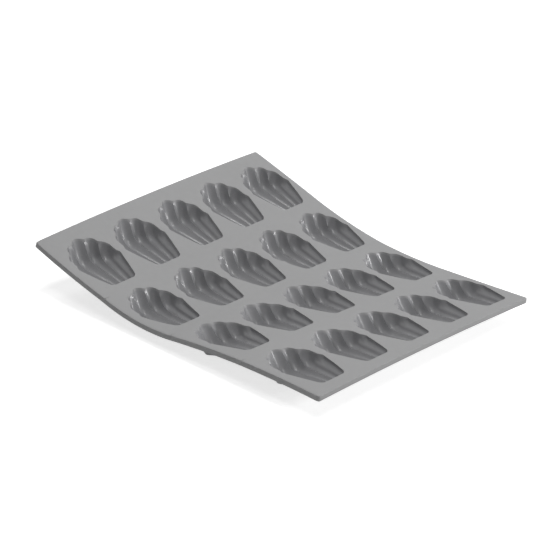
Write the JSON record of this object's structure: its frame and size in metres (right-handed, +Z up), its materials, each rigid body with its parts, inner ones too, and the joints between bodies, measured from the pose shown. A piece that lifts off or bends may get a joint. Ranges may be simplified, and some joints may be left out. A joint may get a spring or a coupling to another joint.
{
  "type": "madeleine mould",
  "caption": "Flexible silicone baking mould: a softly bent sheet with rows of scalloped, fluted shell cavities and flat webs between the rows that flex.",
  "frame": {"origin": "centre of the bounding box's underside, on the surface that the mould rests on", "axes": "+X along the sheet, from the raised left end to the right end, towards which the cavities narrow; +Y from the front edge to the back edge; +Z up"},
  "size_m": [0.2086, 0.176, 0.0406],
  "materials": {
    "sheet_silicone": "matte, light grey foamed silicone",
    "cup_silicone": "the same grey silicone, smoother and satin inside the cavities"
  },
  "bodies": {
    "row_1": {"row_panel_1": "sheet_silicone", "shell_cup_1_1": "cup_silicone", "shell_cup_1_2": "cup_silicone", "shell_cup_1_3": "cup_silicone", "shell_cup_1_4": "cup_silicone", "shell_cup_1_5": "cup_silicone"},
    "row_2": {"row_panel_2": "sheet_silicone", "shell_cup_2_1": "cup_silicone", "shell_cup_2_2": "cup_silicone", "shell_cup_2_3": "cup_silicone", "shell_cup_2_4": "cup_silicone", "shell_cup_2_5": "cup_silicone", "flex_web_1_2": "sheet_silicone"},
    "row_3": {"row_panel_3": "sheet_silicone", "shell_cup_3_1": "cup_silicone", "shell_cup_3_2": "cup_silicone", "shell_cup_3_3": "cup_silicone", "shell_cup_3_4": "cup_silicone", "shell_cup_3_5": "cup_silicone", "flex_web_2_3": "sheet_silicone", "flex_web_3_4": "sheet_silicone"},
    "row_4": {"row_panel_4": "sheet_silicone", "shell_cup_4_1": "cup_silicone", "shell_cup_4_2": "cup_silicone", "shell_cup_4_3": "cup_silicone", "shell_cup_4_4": "cup_silicone", "shell_cup_4_5": "cup_silicone"}
  },
  "joints": [
    {"name": "flex_1_2", "type": "hinge", "parent": "row_2", "child": "row_1", "pos_m": [-0.05046, 0, 0.01806], "axis": [0.0037, 0.9985, 0.0549], "range_deg": [-67, 53], "stiffness_Nm_per_rad": 0.5, "deforming": ["flex_web_1_2"]},
    {"name": "flex_2_3", "type": "hinge", "parent": "row_3", "child": "row_2", "pos_m": [-0.00073, 0, 0.0104], "axis": [-0.002, 0.9998, 0.0186], "range_deg": [-71, 49], "stiffness_Nm_per_rad": 0.5, "deforming": ["flex_web_2_3"]},
    {"name": "flex_3_4", "type": "hinge", "parent": "row_3", "child": "row_4", "pos_m": [0.04939, 0, 0.01196], "axis": [0.0008, 0.9999, -0.0169], "range_deg": [-61, 59], "stiffness_Nm_per_rad": 0.5, "deforming": ["flex_web_3_4"]}
  ]
}
